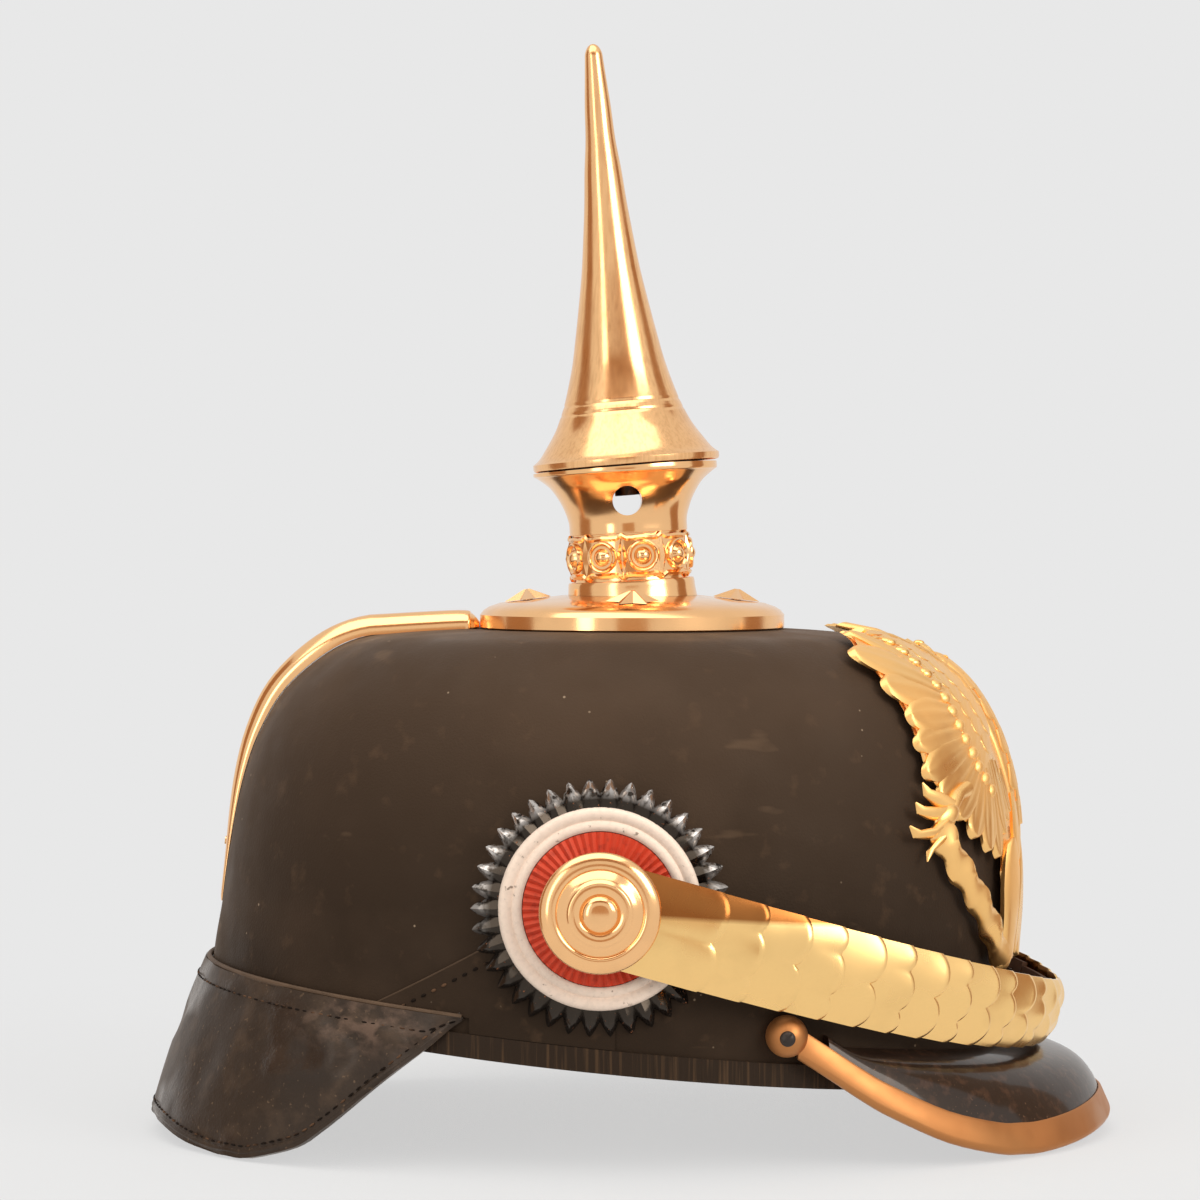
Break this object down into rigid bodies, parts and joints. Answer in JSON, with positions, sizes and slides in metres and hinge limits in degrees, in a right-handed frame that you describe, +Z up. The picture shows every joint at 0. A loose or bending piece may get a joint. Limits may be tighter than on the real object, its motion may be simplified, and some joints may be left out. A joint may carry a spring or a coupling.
{
  "type": "pickelhaube",
  "caption": "Officer's spiked leather dress helmet with brass spike, eagle plate, fluted cockades, trimmed visor, neck guard and a chin strap of brass scales",
  "frame": {"origin": "centre of the bounding box, on the level ground that the visor trim and the neck guard stand on", "axes": "+X towards the front visor, +Y towards the wearer's left, +Z up along the spike"},
  "size_m": [0.2778, 0.222, 0.3126],
  "materials": {
    "skull_leather": "waxed, matte, worn",
    "patent_leather": "glossy, scratched",
    "guard_leather": "rough, creased",
    "rim_leather": "ribbed, satin",
    "strap_leather": "matte",
    "sweat_leather": "soft, matte",
    "lining_cloth": "plain weave",
    "polished_brass": "polished",
    "scale_brass": "polished",
    "gilt_plate": "matte gilt",
    "gilt_trim": "satin",
    "dark_steel": "blackened",
    "black_enamel": "satin black",
    "white_enamel": "satin white",
    "red_cloth": "pleated"
  },
  "bodies": {
    "helmet": {"skull_shell": "skull_leather", "front_visor": "patent_leather", "neck_guard": "guard_leather", "visor_trim": "gilt_trim", "trim_screws": "dark_steel", "edge_binding": "rim_leather", "right_overlay": "skull_leather", "left_overlay": "skull_leather", "rear_spine": "polished_brass", "spine_rivet": "polished_brass", "spike_base": "polished_brass", "star_studs": "polished_brass", "stud_nuts": "dark_steel", "vent_neck": "polished_brass", "pearl_ring": "polished_brass", "front_plate": "gilt_plate", "plate_posts": "gilt_trim", "plate_nuts": "dark_steel", "right_cockade_disc": "black_enamel", "right_cockade_ring": "white_enamel", "right_cockade_centre": "red_cloth", "left_cockade_disc": "black_enamel", "left_cockade_ring": "white_enamel", "left_cockade_centre": "black_enamel", "side_posts": "dark_steel", "post_nuts": "dark_steel", "right_boss": "polished_brass", "left_boss": "polished_brass", "sweatband": "sweat_leather", "lining": "lining_cloth"},
    "spike_seat": {"spike_washer": "sweat_leather"},
    "spike_top": {"spike": "polished_brass", "spike_stud": "dark_steel"},
    "right_link_1": {"right_scales_1": "scale_brass", "right_backing_1": "strap_leather"},
    "right_link_2": {"right_scales_2": "scale_brass", "right_backing_2": "strap_leather"},
    "right_link_3": {"right_scales_3": "scale_brass", "right_backing_3": "strap_leather"},
    "right_link_4": {"right_scales_4": "scale_brass", "right_backing_4": "strap_leather"},
    "right_link_5": {"right_scales_5": "scale_brass", "right_backing_5": "strap_leather"},
    "right_link_6": {"right_scales_6": "scale_brass", "right_backing_6": "strap_leather", "strap_buckle": "dark_steel"},
    "left_link_1": {"left_scales_1": "scale_brass", "left_backing_1": "strap_leather"},
    "left_link_2": {"left_scales_2": "scale_brass", "left_backing_2": "strap_leather"},
    "left_link_3": {"left_scales_3": "scale_brass", "left_backing_3": "strap_leather"},
    "left_link_4": {"left_scales_4": "scale_brass", "left_backing_4": "strap_leather"},
    "left_link_5": {"left_scales_5": "scale_brass", "left_backing_5": "strap_leather"},
    "left_link_6": {"left_scales_6": "scale_brass", "left_backing_6": "strap_leather", "strap_tongue": "strap_leather"}
  },
  "joints": [
    {"name": "spike_lift", "type": "slide", "parent": "helmet", "child": "spike_seat", "axis": [-0.0802, 0, 0.9968], "range_m": [0, 0.0085]},
    {"name": "spike_turn", "type": "hinge", "parent": "spike_seat", "child": "spike_top", "pos_m": [-0.0013, 0, 0.1906], "axis": [-0.0802, 0, 0.9968], "range_deg": [0, 1800]},
    {"name": "right_strap_swing", "type": "hinge", "parent": "helmet", "child": "right_link_1", "pos_m": [-0.009, -0.1016, 0.0715], "axis": [0, -1, 0], "range_deg": [0, 65]},
    {"name": "right_strap_open_1", "type": "hinge", "parent": "right_link_1", "child": "right_link_2", "pos_m": [0.02282, -0.09734, 0.06238], "axis": [-0.2756, 0, -0.9613], "range_deg": [0, 12]},
    {"name": "right_strap_open_2", "type": "hinge", "parent": "right_link_2", "child": "right_link_3", "pos_m": [0.05511, -0.08728, 0.05312], "axis": [-0.2756, 0, -0.9613], "range_deg": [0, 12]},
    {"name": "right_strap_open_3", "type": "hinge", "parent": "right_link_3", "child": "right_link_4", "pos_m": [0.08247, -0.07119, 0.04527], "axis": [-0.2756, 0, -0.9613], "range_deg": [0, 12]},
    {"name": "right_strap_open_4", "type": "hinge", "parent": "right_link_4", "child": "right_link_5", "pos_m": [0.10338, -0.05012, 0.03927], "axis": [-0.2756, 0, -0.9613], "range_deg": [0, 12]},
    {"name": "right_strap_open_5", "type": "hinge", "parent": "right_link_5", "child": "right_link_6", "pos_m": [0.11636, -0.02571, 0.03556], "axis": [-0.2756, 0, -0.9613], "range_deg": [0, 12]},
    {"name": "left_strap_swing", "type": "hinge", "parent": "helmet", "child": "left_link_1", "pos_m": [-0.009, 0.1016, 0.0715], "axis": [0, -1, 0], "range_deg": [0, 65]},
    {"name": "left_strap_open_1", "type": "hinge", "parent": "left_link_1", "child": "left_link_2", "pos_m": [0.02282, 0.09734, 0.06238], "axis": [0.2756, 0, 0.9613], "range_deg": [0, 12]},
    {"name": "left_strap_open_2", "type": "hinge", "parent": "left_link_2", "child": "left_link_3", "pos_m": [0.05511, 0.08728, 0.05312], "axis": [0.2756, 0, 0.9613], "range_deg": [0, 12]},
    {"name": "left_strap_open_3", "type": "hinge", "parent": "left_link_3", "child": "left_link_4", "pos_m": [0.08247, 0.07119, 0.04527], "axis": [0.2756, 0, 0.9613], "range_deg": [0, 12]},
    {"name": "left_strap_open_4", "type": "hinge", "parent": "left_link_4", "child": "left_link_5", "pos_m": [0.10338, 0.05012, 0.03927], "axis": [0.2756, 0, 0.9613], "range_deg": [0, 12]},
    {"name": "left_strap_open_5", "type": "hinge", "parent": "left_link_5", "child": "left_link_6", "pos_m": [0.11636, 0.02571, 0.03556], "axis": [0.2756, 0, 0.9613], "range_deg": [0, 12]}
  ],
  "couplings": [
    {"joint": "spike_lift", "follows": "spike_turn", "m_per_rad": 0.00027056},
    {"joint": "right_strap_open_2", "follows": "right_strap_open_1", "ratio": 1},
    {"joint": "right_strap_open_3", "follows": "right_strap_open_1", "ratio": 1},
    {"joint": "right_strap_open_4", "follows": "right_strap_open_1", "ratio": 1},
    {"joint": "right_strap_open_5", "follows": "right_strap_open_1", "ratio": 1},
    {"joint": "left_strap_open_2", "follows": "left_strap_open_1", "ratio": 1},
    {"joint": "left_strap_open_3", "follows": "left_strap_open_1", "ratio": 1},
    {"joint": "left_strap_open_4", "follows": "left_strap_open_1", "ratio": 1},
    {"joint": "left_strap_open_5", "follows": "left_strap_open_1", "ratio": 1}
  ]
}
